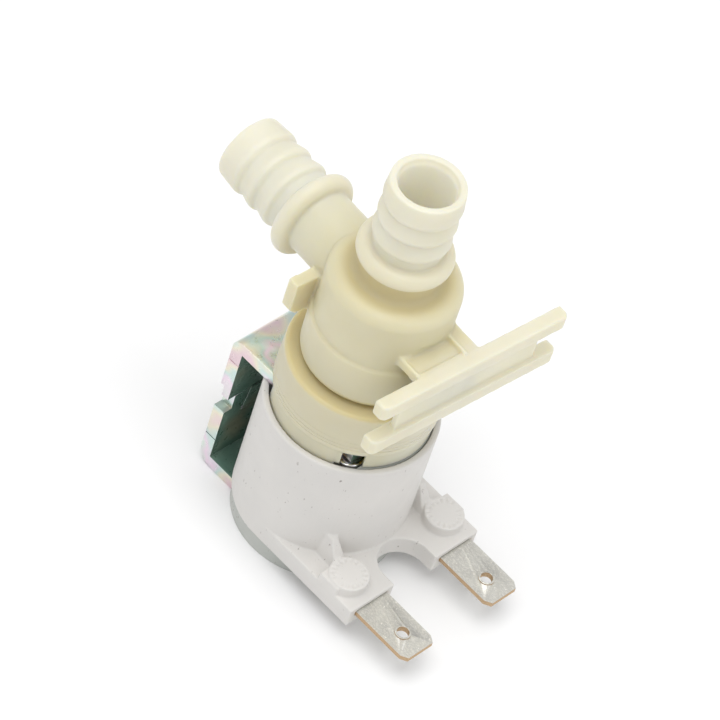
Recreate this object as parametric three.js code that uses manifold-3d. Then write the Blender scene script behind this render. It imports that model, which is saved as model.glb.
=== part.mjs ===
// Solenoid valve: a nylon pilot valve with two hose ports, standing on its coil and steel yoke.
// Millimetres, +Z up. The origin is on the coil axis, on the plane that the valve stands on.
// -Y is the side of the spade terminals and of the mounting rails.
import * as THREE from 'three';
import { mergeVertices } from 'three/addons/utils/BufferGeometryUtils.js';
import Module from 'manifold-3d';

const wasm = await Module();
wasm.setup();

// ---------------------------------------------------------------- driving dimensions
const gap = 0.3;               // clearance between neighbouring pieces
const fineGap = 0.12;          // clearance of a moulded-in piece
const past = 1;                // how far a cutter runs past the face it opens

// coil
const coilRadius = 13.2;
const coilBottomZ = 3.3;
const rimZ = 25.35;
const cupRadius = 12.2;
const cupFloorZ = 22.9;
const landTopZ = 24.7;         // raised lands that keep the pole plate square on the bobbin
const armTopZ = 6.65;
const armFrontY = -19.65;
const archHalfWidth = 4.3;     // rounded cut-out between the two arms
const archCentreY = -17.7;
const rimEdge = 0.3;
const flangeRadius = 12.74;    // bobbin flange that shows under the coil
const windingInner = 6.62;
const windingOuter = 11;
const windingBottomZ = 7.8;
const windingTopZ = 21.3;
const tapeThickness = 0.48;
const leadRadius = 0.35;
const leadTunnelRadius = 0.55;

// round boss on each arm, its pad and its fin
const bossRadius = 3.05;
const bossX = 9.85;
const bossY = -15.2;
const bossTopZ = 8.5;
const padTopZ = 8.1;
const padFrontY = -16.2;
const padBackY = -12.5;
const padWidth = 3.35;
const padInset = 0.05;
const finX = 9;
const finHalfThickness = 0.7;
const finRootY = -8.8;
const finCrestY = -10.4;
const finFrontY = -12.6;
const finHeight = 4.4;
const finToe = 0.6;

// terminals: standard 6.3 x 0.8 blades
const terminalX = 8.68;
const bladeWidth = 6.3;
const bladeThickness = 0.8;
const bladeTopZ = 5.69;
const bladeTipY = -30.06;
const bladeRootY = -14.6;
const bladeTipInset = 0.7;
const bladeTipLength = 1.1;
const latchHoleRadius = 0.95;
const latchHoleFromTip = 3.79;

// steel yoke
const sheet = 2.1;
const yokeHalfWidth = 8.05;
const yokeBackY = 15.15;       // inner face of the upright
const upperLeafZ = 25.5;       // underside of the upper leaf
const upperLeafFrontY = -8;
const lowerLeafFrontY = -8.5;
const leafCorner = 2;
const upperBendRadius = 1.8;
const lowerBendRadius = 2.9;
const yokeSplitZ = 15.3;       // where the two halves of the upright meet
const notchZ = 12.3;           // shoulders of the lower half stop here, leaving a side notch
const notchHalf = 6.5;
const tongueDepth = 4.8;       // dovetail that locks the two halves of the upright
const tongueRootHalf = 3;
const tongueTipHalf = 4;
const polePlateZ = 23.1;
const polePlateThickness = 2;
const polePlateHalf = 8.9;
const polePlateCorner = 2;

// guide tube and what surrounds it and runs in it
const tubeOuter = 4.6;
const tubeInner = 3.7;
const tubeFloorZ = 1.2;
const sleeveInner = 4.95;
const sleeveOuter = 5.5;
const sleeveInset = 0.1;
const upperSleeveBottomZ = 16.5;
const lowerSleeveTopZ = 10.5;
const steelBore = 5.75;        // holes for the flux sleeves
const plungerRadius = 3.4;
const plungerBottomZ = 9;
const plungerTopZ = 36;
const plungerEdge = 0.5;
const plungerNoseRadius = 2.9;
const plungerNoseLength = 2;
const sealPocketRadius = 2.1;
const sealPocketDepth = 1.8;
const plungerSealRadius = 1.95;
const plungerSealTipRadius = 1.3;
const springBore = 2.2;
const springBoreTopZ = 16;
const springRadius = 1.65;
const springWire = 0.25;       // radius of the wire
const springTurns = 7;
const springEndGap = 0.15;

// bonnet, the round nylon drum over the yoke
const valveYaw = THREE.MathUtils.degToRad(-3.6);   // the valve sits slightly turned on its coil
const drumRadius = 12.4;
const drumTopRadius = 12.15;
const drumEdge = 0.5;
const drumBottomZ = upperLeafZ + sheet + gap;
const drumTopZ = 36;
const drumSkirtRadius = 11.85;
const drumSkirtThickness = 0.95;
const drumSkirtBottomZ = 23.5;
const drumSkirtFromX = 9.65;
const drumLedgeRadius = 9.4;
const spigotRadius = 8.8;
const spigotTopZ = 39.5;
const pilotRadius = 7.4;       // pilot chamber under the diaphragm
const pilotFloorThickness = 1.9;
const sealZ = 38.1;
const sealRadius = 0.45;
const sealGrooveDepth = 0.9;
const sealGrooveHalf = 0.6;

// valve body
const skirtRadius = 10.3;
const skirtBottomZ = 36.8;
const skirtTopZ = 44;
const bodyRadius = 9.85;
const bodyTopZ = 54.3;
const shoulderRadius = 2;
const neckRadius = 5.9;
const seatZ = 40.8;
const seatOuter = 5.5;
const chamberRadius = 8.4;
const chamberTopZ = 53;
const skirtEdge = 0.5;
const skirtStep = 0.15;

// diaphragm and its hub
const diaphragmZ = 39.8;
const diaphragmThickness = 0.7;
const diaphragmBore = 3.3;
const diaphragmRim = 8.9;
const foldRadius = 6.6;        // middle of the convolution
const foldHalf = 0.7;
const foldDepth = 0.6;
const hubBottomZ = 38.2;
const hubTopZ = 44;
const hubFlangeRadius = 5.6;
const hubStemRadius = 2.9;
const hubBossRadius = 1.6;
const pilotHoleRadius = 0.6;

// hose ports
const portBore = 4.1;
const collarRadius = 7.1;
const collarThickness = 2.85;
const collarRound = 0.8;
const topPortZ = 60.2;         // outer face of the upright port's collar
const topBarbLength = 12.7;
const sidePortY = 18.75;       // outer face of the side port's collar
const sidePortZ = 48.85;
const sideBarbLength = 13.05;
const sideTubeRadius = 5.3;
const sideTubeStartY = 7.5;
const sideBoreStartY = 6.5;
const barbRidges = 3;
const barbPitch = 3.35;
const barbFirstNotch = 1.9;
const barbRise = 0.35;         // height of a ridge's steep lower face
const barbCrestFrom = 0.7;      // the crest is a short flat band
const barbCrestTo = 1.1;
const barbRoot = 5.15;
const barbShoulder = 5.63;
const barbCrest = 5.75;
const barbTip = 4.85;
const barbTipLength = 0.5;

// mounting rails and back bar
const railLeftX = -13.2;
const railRightX = 21.8;
const railBackY = -12.9;
const railFrontY = -15.2;
const railHeight = 2.6;
const railEdge = 0.6;
const upperRailZ = 45.2;
const lowerRailZ = 37.7;
const webInset = 4.2;          // from the ends of the rails
const webSetBack = 0.7;        // from the front and the back of the rails
const webOverlap = 1;
const shelfFromX = -5.1;
const shelfThickness = 1.8;
const trayFromX = -4.6;
const trayBackY = -9.4;
const trayFrontWall = 0.5;
const trayDepth = 0.5;
const ribFromX = 3.4;
const ribToX = 6.2;
const bracketRootY = -7.4;
const backBarHalf = 9.8;
const backBarFromY = 8.4;
const backBarToY = 10.3;
const backBarBottomZ = 42.5;
const backBarChamfer = 1.4;

// facets round a full turn
const fine = 44;
const medium = 30;
const coarse = 20;

// ---------------------------------------------------------------- joining and cutting
// Merges shared corners, drops collapsed triangles and turns the faces outward.
function toManifold(geometry) {
  const bare = geometry.clone();
  bare.deleteAttribute('normal');
  bare.deleteAttribute('uv');
  const merged = mergeVertices(bare, 1e-4);
  const position = merged.attributes.position;
  const corners = [new THREE.Vector3(), new THREE.Vector3(), new THREE.Vector3()];
  const triangles = [];
  let volume = 0;
  for (let i = 0; i < merged.index.count; i += 3) {
    const triangle = [0, 1, 2].map((k) => merged.index.getX(i + k));
    if (new Set(triangle).size < 3) continue;
    corners.forEach((corner, k) => corner.fromBufferAttribute(position, triangle[k]));
    volume += corners[0].dot(corners[1].clone().cross(corners[2]));
    triangles.push(triangle);
  }
  if (volume < 0) triangles.forEach((triangle) => triangle.reverse());
  return new wasm.Manifold(new wasm.Mesh({
    numProp: 3,
    vertProperties: new Float32Array(position.array),
    triVerts: new Uint32Array(triangles.flat()),
  }));
}

// Joins the closed geometries of the first list and cuts those of the second from them.
function carve(solids, cutters = []) {
  const joined = solids.map(toManifold).reduce((sum, next) => sum.add(next));
  const result = cutters.map(toManifold).reduce((rest, next) => rest.subtract(next), joined);
  const mesh = result.getMesh();
  const geometry = new THREE.BufferGeometry();
  geometry.setAttribute('position', new THREE.BufferAttribute(mesh.vertProperties, 3));
  geometry.setIndex(new THREE.BufferAttribute(mesh.triVerts, 1));
  return geometry;
}

// ---------------------------------------------------------------- basic shapes
// A closed profile of [radius, z] corners, turned about the Z axis.
function revolve(profile, segments = medium) {
  const points = profile.map(([r, z]) => new THREE.Vector2(r, z));
  const onAxis = points[0].x === 0 && points[points.length - 1].x === 0;
  if (!onAxis) points.push(points[0].clone());
  return new THREE.LatheGeometry(points, segments).rotateX(Math.PI / 2);
}

const disc = (radius, z0, z1, segments) =>
  revolve([[0, z0], [radius, z0], [radius, z1], [0, z1]], segments);

const ring = (inner, outer, z0, z1, segments) =>
  revolve([[inner, z0], [outer, z0], [outer, z1], [inner, z1]], segments);

function box(x0, x1, y0, y1, z0, z1) {
  const geometry = new THREE.BoxGeometry(x1 - x0, y1 - y0, z1 - z0);
  return geometry.translate((x0 + x1) / 2, (y0 + y1) / 2, (z0 + z1) / 2);
}

function prism(shape, z0, z1, curveSegments = 10) {
  const options = { depth: z1 - z0, bevelEnabled: false, curveSegments };
  return new THREE.ExtrudeGeometry(shape, options).translate(0, 0, z0);
}

const polygon = (corners) => new THREE.Shape(corners.map(([x, y]) => new THREE.Vector2(x, y)));

// Corners along an arc about [centreX, centreY].
function arc(centreX, centreY, radius, fromDegrees, toDegrees, steps = 4) {
  return Array.from({ length: steps + 1 }, (_, i) => {
    const angle = THREE.MathUtils.degToRad(fromDegrees + ((toDegrees - fromDegrees) * i) / steps);
    return [centreX + radius * Math.cos(angle), centreY + radius * Math.sin(angle)];
  });
}

// An outline drawn in X and Z, extruded from y0 to y1.
const prismAlongY = (shape, y0, y1) => prism(shape, -y1, -y0).rotateX(Math.PI / 2);

// An outline drawn in Y and Z, extruded from x0 to x1.
const prismAlongX = (shape, x0, x1) =>
  prism(shape, x0, x1).rotateX(Math.PI / 2).rotateZ(Math.PI / 2);

// ---------------------------------------------------------------- materials
const finish = (color, roughness, metalness) =>
  new THREE.MeshStandardMaterial({ color, roughness, metalness });

const creamNylon = () => finish('#e6dfc6', 0.45, 0);
const whiteNylon = () => finish('#c9c8c3', 0.5, 0);
const greyNylon = () => finish('#b9bcb5', 0.55, 0);
const zincSteel = () => finish('#b7b9b4', 0.3, 1);
const tinnedBrass = () => finish('#b3aa90', 0.35, 1);
const stainless = () => finish('#a9abac', 0.3, 1);
const copper = () => finish('#b0643a', 0.35, 1);
const yellowTape = () => finish('#c9b25a', 0.6, 0);
const rubber = () => finish('#232323', 0.75, 0);

// ---------------------------------------------------------------- yoke and flux path
// Removes the square outer corner of a bend, at the top (side 1) or the bottom (side -1).
function bendCutter(z, side, radius) {
  const outerY = yokeBackY + sheet;
  const centreZ = z - side * radius;
  const outline = polygon([
    ...arc(outerY - radius, centreZ, radius, side * 90, 0),
    [outerY + past, centreZ], [outerY + past, z + side * past], [outerY - radius, z + side * past],
  ]);
  return prismAlongX(outline, -yokeHalfWidth - past, yokeHalfWidth + past);
}

function leafOutline(frontY) {
  const backY = yokeBackY + sheet;
  const centreX = yokeHalfWidth - leafCorner;
  const centreY = frontY + leafCorner;
  return polygon([
    [yokeHalfWidth, backY], [-yokeHalfWidth, backY],
    ...arc(-centreX, centreY, leafCorner, 180, 270),
    ...arc(centreX, centreY, leafCorner, 270, 360),
  ]);
}

function makeYokeUpper() {
  const top = upperLeafZ + sheet;
  const tongueTip = yokeSplitZ - tongueDepth;
  const upright = polygon([
    [-yokeHalfWidth, yokeSplitZ], [-tongueRootHalf, yokeSplitZ], [-tongueTipHalf, tongueTip],
    [tongueTipHalf, tongueTip], [tongueRootHalf, yokeSplitZ], [yokeHalfWidth, yokeSplitZ],
    [yokeHalfWidth, top], [-yokeHalfWidth, top],
  ]);
  return carve(
    [
      prismAlongY(upright, yokeBackY, yokeBackY + sheet),
      prism(leafOutline(upperLeafFrontY), upperLeafZ, top),
    ],
    [disc(steelBore, upperLeafZ - past, top + past, medium), bendCutter(top, 1, upperBendRadius)],
  );
}

function makeYokeLower() {
  const top = yokeSplitZ - gap;
  const socketFloor = yokeSplitZ - tongueDepth - gap;
  const flare = (tongueTipHalf - tongueRootHalf) / tongueDepth;
  const socketHalf = (z) => tongueRootHalf + flare * (yokeSplitZ - z) + gap;
  const socketTop = socketHalf(top);
  const socketBottom = socketHalf(socketFloor);
  const upright = polygon([
    [-yokeHalfWidth, 0], [yokeHalfWidth, 0], [yokeHalfWidth, notchZ], [notchHalf, notchZ],
    [notchHalf, top], [socketTop, top], [socketBottom, socketFloor],
    [-socketBottom, socketFloor], [-socketTop, top], [-notchHalf, top],
    [-notchHalf, notchZ], [-yokeHalfWidth, notchZ],
  ]);
  return carve(
    [
      prismAlongY(upright, yokeBackY, yokeBackY + sheet),
      prism(leafOutline(lowerLeafFrontY), 0, sheet),
    ],
    [disc(steelBore, -past, sheet + past, medium), bendCutter(0, -1, lowerBendRadius)],
  );
}

function makePolePlate() {
  const corner = polePlateCorner;
  const inner = polePlateHalf - corner;
  const top = polePlateZ + polePlateThickness;
  const outline = polygon([
    ...arc(inner, inner, corner, 0, 90), ...arc(-inner, inner, corner, 90, 180),
    ...arc(-inner, -inner, corner, 180, 270), ...arc(inner, -inner, corner, 270, 360),
  ]);
  const bore = disc(steelBore, polePlateZ - past, top + past, medium);
  return carve([prism(outline, polePlateZ, top)], [bore]);
}

const makeUpperSleeve = () =>
  ring(sleeveInner, sleeveOuter, upperSleeveBottomZ, upperLeafZ + sheet - sleeveInset, medium);
const makeLowerSleeve = () =>
  ring(sleeveInner, sleeveOuter, sleeveInset, lowerSleeveTopZ, medium);

// ---------------------------------------------------------------- coil
function armOutline() {
  return polygon([
    ...arc(0, 0, coilRadius, 0, 180, fine / 2),
    [-coilRadius, armFrontY], [-archHalfWidth, armFrontY],
    ...arc(0, archCentreY, archHalfWidth, 180, 0, 12),
    [archHalfWidth, armFrontY], [coilRadius, armFrontY],
  ]);
}

// Round boss, its pad and the fin that ties it to the coil wall.
function armBoss(side) {
  const rootZ = armTopZ - past;
  const crestZ = armTopZ + finHeight;
  const fin = polygon([
    [finRootY, rootZ], [finFrontY, rootZ], [finFrontY, armTopZ + finToe],
    [finCrestY, crestZ], [finRootY, crestZ],
  ]);
  const middle = side * finX;
  const padOuter = coilRadius - padInset;
  const padX = [side * (padOuter - padWidth), side * padOuter].sort((a, b) => a - b);
  return [
    disc(bossRadius, rootZ, bossTopZ, coarse).translate(side * bossX, bossY, 0),
    box(...padX, padFrontY, padBackY, rootZ, padTopZ),
    prismAlongX(fin, middle - finHalfThickness, middle + finHalfThickness),
  ];
}

function bladeSlot(side) {
  const half = bladeWidth / 2 + fineGap;
  const x = side * terminalX;
  const bottomZ = bladeTopZ - bladeThickness - fineGap;
  const frontY = armFrontY - past;
  return box(x - half, x + half, frontY, bladeRootY + fineGap, bottomZ, bladeTopZ + fineGap);
}

// Wire from under the winding, through the base, to the inner end of a blade.
function leadTube(side, radius, endY) {
  const bladeZ = bladeTopZ - bladeThickness / 2;
  const path = new THREE.CatmullRomCurve3([
    new THREE.Vector3(side * 6.2, -7.2, 7.2),
    new THREE.Vector3(side * 6.9, -8.9, 6.5),
    new THREE.Vector3(side * 7.9, -11.2, 5.6),
    new THREE.Vector3(side * terminalX, endY, bladeZ),
  ]);
  const section = new THREE.Shape().absellipse(0, 0, radius, radius, 0, 2 * Math.PI);
  const options = { steps: 12, extrudePath: path, curveSegments: 4 };
  return new THREE.ExtrudeGeometry(section, options);
}

const makeLead = (side) => leadTube(side, leadRadius, bladeRootY + gap);

// Cup with two arms, open at the top, with a hole in its floor for the bobbin's barrel.
function makeOvermould() {
  const wall = revolve([
    [0, coilBottomZ], [coilRadius, coilBottomZ], [coilRadius, rimZ - rimEdge],
    [coilRadius - rimEdge, rimZ], [0, rimZ],
  ], fine);
  const leadTunnel = (side) => leadTube(side, leadTunnelRadius, bladeRootY - gap);
  return carve(
    [wall, prism(armOutline(), coilBottomZ, armTopZ), ...armBoss(-1), ...armBoss(1)],
    [
      disc(cupRadius, armTopZ, rimZ + past, fine),
      disc(windingInner + gap, coilBottomZ - past, armTopZ + past, medium),
      bladeSlot(-1), bladeSlot(1), leadTunnel(-1), leadTunnel(1),
    ],
  );
}

// Raised lands on the upper flange, one on each side of the pole plate.
function flangeLands(radius) {
  const half = polePlateHalf + gap;
  const reach = radius + past;
  return carve(
    [disc(radius, cupFloorZ - past, landTopZ, fine)],
    [box(-reach, reach, -half, half, cupFloorZ - 2 * past, landTopZ + past)],
  );
}

// Barrel with an upper flange in the cup and a lower flange, slotted for the yoke's lower leaf.
function makeBobbin() {
  const barrel = windingInner - fineGap;
  const upperFlange = cupRadius - fineGap;
  const lowerFlangeTop = coilBottomZ - fineGap;
  const turned = revolve([
    [steelBore, 0], [flangeRadius, 0], [flangeRadius, lowerFlangeTop], [barrel, lowerFlangeTop],
    [barrel, windingTopZ + fineGap], [upperFlange, windingTopZ + fineGap],
    [upperFlange, cupFloorZ], [steelBore, cupFloorZ],
  ], fine);
  const slotHalf = yokeHalfWidth + gap;
  const slotFrontY = lowerLeafFrontY - gap;
  const slot = box(-slotHalf, slotHalf, slotFrontY, flangeRadius + past, -past, sheet + gap);
  return carve([turned, flangeLands(upperFlange)], [slot]);
}

const makeWinding = () => ring(windingInner, windingOuter, windingBottomZ, windingTopZ, medium);

function makeTape() {
  const inner = windingOuter + fineGap;
  return ring(inner, inner + tapeThickness, windingBottomZ, windingTopZ, medium);
}

// Spade blade with a chamfered tip and a latching hole.
function makeTerminal(side) {
  const x = side * terminalX;
  const half = bladeWidth / 2;
  const tipHalf = half - bladeTipInset;
  const shoulderY = bladeTipY + bladeTipLength;
  const blade = polygon([
    [x - half, bladeRootY], [x - half, shoulderY], [x - tipHalf, bladeTipY],
    [x + tipHalf, bladeTipY], [x + half, shoulderY], [x + half, bladeRootY],
  ]);
  const hole = new THREE.Path();
  const holeY = bladeTipY + latchHoleFromTip;
  hole.absellipse(x, holeY, latchHoleRadius, latchHoleRadius, 0, 2 * Math.PI);
  blade.holes.push(hole);
  return prism(blade, bladeTopZ - bladeThickness, bladeTopZ);
}

// ---------------------------------------------------------------- bonnet with its guide tube
// Two walls that reach from the drum down into the coil's cup, beside the steel.
function drumSkirts() {
  const inner = drumSkirtRadius - drumSkirtThickness;
  const rootZ = drumBottomZ + past;
  const reach = drumRadius + past;
  return carve(
    [ring(inner, drumSkirtRadius, drumSkirtBottomZ, rootZ, fine)],
    [box(-drumSkirtFromX, drumSkirtFromX, -reach, reach, drumSkirtBottomZ - past, rootZ + past)],
  );
}

function makeBonnet() {
  const neckTopZ = skirtBottomZ - gap;
  const drum = revolve([
    [0, drumBottomZ], [drumRadius - drumEdge, drumBottomZ], [drumRadius, drumBottomZ + drumEdge],
    [drumTopRadius, drumTopZ - drumEdge], [drumTopRadius - drumEdge, drumTopZ],
    [drumLedgeRadius, drumTopZ], [drumLedgeRadius, neckTopZ], [spigotRadius, neckTopZ],
    [spigotRadius, spigotTopZ], [0, spigotTopZ],
  ], fine);
  const guideTube = disc(tubeOuter, 0, drumBottomZ + past, medium);
  const pilotFloorZ = drumBottomZ + pilotFloorThickness;
  const grooveInner = spigotRadius - sealGrooveDepth;
  const grooveOuter = spigotRadius + past;
  return carve(
    [drum, drumSkirts(), guideTube],
    [
      disc(pilotRadius, pilotFloorZ, spigotTopZ + past, medium),
      disc(tubeInner, tubeFloorZ, pilotFloorZ + past, medium),
      ring(grooveInner, grooveOuter, sealZ - sealGrooveHalf, sealZ + sealGrooveHalf, fine),
    ],
  );
}

// O-ring lying on the floor of its groove.
function makeBodySeal() {
  const centre = spigotRadius - sealGrooveDepth + fineGap + sealRadius;
  return revolve(arc(centre, sealZ, sealRadius, 0, 300, 5), medium);
}

// ---------------------------------------------------------------- moving parts
function makePlunger() {
  const pocketZ = plungerTopZ - sealPocketDepth;
  return revolve([
    [0, springBoreTopZ], [springBore, springBoreTopZ], [springBore, plungerBottomZ],
    [plungerRadius - plungerEdge, plungerBottomZ], [plungerRadius, plungerBottomZ + plungerEdge],
    [plungerRadius, plungerTopZ - plungerNoseLength], [plungerNoseRadius, plungerTopZ],
    [sealPocketRadius, plungerTopZ], [sealPocketRadius, pocketZ], [0, pocketZ],
  ], coarse);
}

// Rubber plug that closes the hub's pilot hole.
function makePlungerSeal() {
  const bottomZ = plungerTopZ - sealPocketDepth + fineGap;
  const topZ = hubBottomZ - gap;
  return revolve([
    [0, bottomZ], [plungerSealRadius, bottomZ], [plungerSealRadius, topZ - sealRadius],
    [plungerSealTipRadius, topZ], [0, topZ],
  ], coarse);
}

class Helix extends THREE.Curve {
  constructor(radius, z0, z1, turns) {
    super();
    Object.assign(this, { radius, z0, z1, turns });
  }

  getPoint(t, target = new THREE.Vector3()) {
    const angle = 2 * Math.PI * this.turns * t;
    const z = this.z0 + (this.z1 - this.z0) * t;
    return target.set(this.radius * Math.cos(angle), this.radius * Math.sin(angle), z);
  }
}

function makeSpring() {
  const margin = springWire + springEndGap;
  const helix = new Helix(springRadius, tubeFloorZ + margin, springBoreTopZ - margin, springTurns);
  const section = new THREE.Shape().absellipse(0, 0, springWire, springWire, 0, 2 * Math.PI);
  const options = { steps: springTurns * 8, extrudePath: helix, curveSegments: 3 };
  return new THREE.ExtrudeGeometry(section, options);
}

// Rubber ring clamped at its rim, with one shallow convolution.
function makeDiaphragm() {
  const top = diaphragmZ + diaphragmThickness;
  const foldInner = foldRadius - foldHalf;
  const foldOuter = foldRadius + foldHalf;
  return revolve([
    [diaphragmBore, diaphragmZ], [foldInner, diaphragmZ], [foldRadius, diaphragmZ - foldDepth],
    [foldOuter, diaphragmZ], [diaphragmRim, diaphragmZ], [diaphragmRim, top],
    [foldOuter, top], [foldRadius, top - foldDepth], [foldInner, top], [diaphragmBore, top],
  ], medium);
}

// Hub with the pilot hole, pushed through the middle of the diaphragm.
function makeDiaphragmInsert() {
  const flangeBottomZ = hubBottomZ + gap;
  const flangeTopZ = diaphragmZ - gap;
  return revolve([
    [pilotHoleRadius, hubBottomZ], [hubBossRadius, hubBottomZ],
    [hubBossRadius + gap, flangeBottomZ], [hubFlangeRadius, flangeBottomZ],
    [hubFlangeRadius, flangeTopZ], [hubStemRadius, flangeTopZ],
    [hubStemRadius, hubTopZ], [pilotHoleRadius, hubTopZ],
  ], medium);
}

// ---------------------------------------------------------------- valve body
// Hose barb along +Z with its ridges; its collar's outer face is at 0.
function barb(length) {
  const profile = [[0, -past], [barbRoot, -past], [barbRoot, barbFirstNotch]];
  for (let ridge = 0; ridge < barbRidges; ridge += 1) {
    const foot = barbFirstNotch + ridge * barbPitch;
    profile.push([barbShoulder, foot + barbRise]);
    profile.push([barbCrest, foot + barbCrestFrom], [barbCrest, foot + barbCrestTo]);
    if (ridge < barbRidges - 1) profile.push([barbRoot, foot + barbPitch]);
  }
  profile.push([barbRoot, length - barbTipLength], [barbTip, length], [0, length]);
  return revolve(profile, medium);
}

// Round-edged collar that ends at z1.
function collar(z1) {
  const centre = collarRadius - collarRound;
  const z0 = z1 - collarThickness;
  return revolve([
    [0, z0], ...arc(centre, z0 + collarRound, collarRound, -90, 0, 2),
    ...arc(centre, z1 - collarRound, collarRound, 0, 90, 2), [0, z1],
  ], medium);
}

// Lays a shape that points along +Z down along +Y, at the side port's height.
const alongSidePort = (geometry) => geometry.rotateX(-Math.PI / 2).translate(0, 0, sidePortZ);

function bodyShell() {
  const neckTopZ = topPortZ - past;
  const outer = revolve([
    [0, skirtBottomZ], [skirtRadius - skirtEdge, skirtBottomZ],
    [skirtRadius, skirtBottomZ + skirtEdge], [skirtRadius, skirtTopZ - skirtStep],
    [bodyRadius, skirtTopZ],
    ...arc(bodyRadius - shoulderRadius, bodyTopZ - shoulderRadius, shoulderRadius, 0, 90),
    [neckRadius, bodyTopZ], [neckRadius, neckTopZ], [0, neckTopZ],
  ], fine);
  return [
    outer,
    collar(topPortZ),
    barb(topBarbLength).translate(0, 0, topPortZ),
    alongSidePort(disc(sideTubeRadius, sideTubeStartY, sidePortY - past, medium)),
    alongSidePort(collar(sidePortY)),
    alongSidePort(barb(sideBarbLength).translate(0, 0, sidePortY)),
  ];
}

// Both bores, the ring chamber round the seat and the socket for the bonnet.
function bodyCavities() {
  return [
    disc(portBore, seatZ - past, topPortZ + topBarbLength + past, medium),
    ring(seatOuter, chamberRadius, seatZ - past, chamberTopZ, medium),
    disc(spigotRadius + gap, skirtBottomZ - past, seatZ, fine),
    alongSidePort(disc(portBore, sideBoreStartY, sidePortY + sideBarbLength + past, medium)),
  ];
}

function railBar(z0) {
  const edgeY = railFrontY + railEdge;
  const outline = polygon([
    [railLeftX, railBackY], [railLeftX, edgeY], [railLeftX + railEdge, railFrontY],
    [railRightX - railEdge, railFrontY], [railRightX, edgeY], [railRightX, railBackY],
  ]);
  return prism(outline, z0, z0 + railHeight);
}

// Two rails with a set-back web between them, a shelf that joins the upper one to the body
// and a rib that joins both.
function frontBracket() {
  const top = upperRailZ + railHeight;
  const web = box(
    railLeftX + webInset, railRightX - webInset,
    railFrontY + webSetBack, railBackY - webSetBack,
    lowerRailZ + webOverlap, upperRailZ + webOverlap,
  );
  const frontY = railBackY - fineGap;
  const shelf = box(shelfFromX, ribToX, frontY, bracketRootY, top - shelfThickness, top);
  const rib = box(ribFromX, ribToX, frontY, bracketRootY, lowerRailZ, top);
  return [railBar(upperRailZ), railBar(lowerRailZ), web, shelf, rib];
}

// Shallow tray in the shelf, as far as the rib.
function shelfTray() {
  const top = upperRailZ + railHeight;
  const frontY = railBackY + trayFrontWall;
  return box(trayFromX, ribFromX, frontY, trayBackY, top - trayDepth, top + past);
}

function backBar() {
  const top = upperRailZ + railHeight;
  const shoulderZ = backBarBottomZ + backBarChamfer;
  const bottomHalf = backBarHalf - backBarChamfer;
  const outline = polygon([
    [-backBarHalf, shoulderZ], [-bottomHalf, backBarBottomZ], [bottomHalf, backBarBottomZ],
    [backBarHalf, shoulderZ], [backBarHalf, top], [-backBarHalf, top],
  ]);
  return prismAlongY(outline, backBarFromY, backBarToY);
}

function makeBody() {
  return carve(
    [...bodyShell(), ...frontBracket(), backBar()],
    [...bodyCavities(), shelfTray()],
  );
}

// ---------------------------------------------------------------- assembly
function part(name, geometry, material) {
  const mesh = new THREE.Mesh(geometry, material);
  mesh.name = name;
  return mesh;
}

function coilGroup() {
  const group = new THREE.Group();
  group.add(
    part('coil_overmould', makeOvermould(), whiteNylon()),
    part('bobbin', makeBobbin(), greyNylon()),
    part('winding', makeWinding(), copper()),
    part('winding_tape', makeTape(), yellowTape()),
    part('yoke_upper', makeYokeUpper(), zincSteel()),
    part('yoke_lower', makeYokeLower(), zincSteel()),
    part('upper_pole_plate', makePolePlate(), zincSteel()),
    part('upper_flux_sleeve', makeUpperSleeve(), zincSteel()),
    part('lower_flux_sleeve', makeLowerSleeve(), zincSteel()),
  );
  for (const [label, side] of [['left', -1], ['right', 1]]) {
    group.add(part(`terminal_${label}`, makeTerminal(side), tinnedBrass()));
    group.add(part(`lead_${label}`, makeLead(side), copper()));
  }
  return group;
}

function valveGroup() {
  const group = new THREE.Group();
  group.rotation.z = valveYaw;
  group.add(
    part('valve_body', makeBody(), creamNylon()),
    part('bonnet', makeBonnet(), creamNylon()),
    part('body_seal', makeBodySeal(), rubber()),
    part('diaphragm', makeDiaphragm(), rubber()),
    part('diaphragm_insert', makeDiaphragmInsert(), creamNylon()),
    part('plunger', makePlunger(), stainless()),
    part('plunger_seal', makePlungerSeal(), rubber()),
    part('plunger_spring', makeSpring(), stainless()),
  );
  return group;
}

const solenoidValve = new THREE.Group();
solenoidValve.add(coilGroup(), valveGroup());

export default solenoidValve;
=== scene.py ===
import math

import bmesh
import bpy
from mathutils import Matrix, Quaternion, Vector


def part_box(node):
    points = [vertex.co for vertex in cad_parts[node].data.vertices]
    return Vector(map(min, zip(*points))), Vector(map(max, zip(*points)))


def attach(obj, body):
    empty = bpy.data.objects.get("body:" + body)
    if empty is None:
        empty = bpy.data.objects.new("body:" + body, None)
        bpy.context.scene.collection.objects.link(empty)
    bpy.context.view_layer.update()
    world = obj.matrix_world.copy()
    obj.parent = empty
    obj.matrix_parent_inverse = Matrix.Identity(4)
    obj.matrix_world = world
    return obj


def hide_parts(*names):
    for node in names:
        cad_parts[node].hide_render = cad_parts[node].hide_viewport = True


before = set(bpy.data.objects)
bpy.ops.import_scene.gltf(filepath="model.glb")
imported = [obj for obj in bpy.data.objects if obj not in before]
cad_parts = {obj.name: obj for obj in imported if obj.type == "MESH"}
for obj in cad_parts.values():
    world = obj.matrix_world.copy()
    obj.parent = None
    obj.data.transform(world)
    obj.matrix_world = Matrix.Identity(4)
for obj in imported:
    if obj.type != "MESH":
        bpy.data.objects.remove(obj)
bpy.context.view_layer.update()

# Shapes are drawn in millimetres in the frame's axes, and finish_piece() turns them into metres.
# Positions in the looks, the lights and the camera are metres.
MM = 0.001
VALVE_YAW = math.radians(-3.6)
TURNED = Matrix.Rotation(VALVE_YAW, 4, "Z")
LEVEL = Matrix.Identity(4)
# How far a cutter, or a solid that is joined on, runs past the face it meets.
PAST = 1
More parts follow.
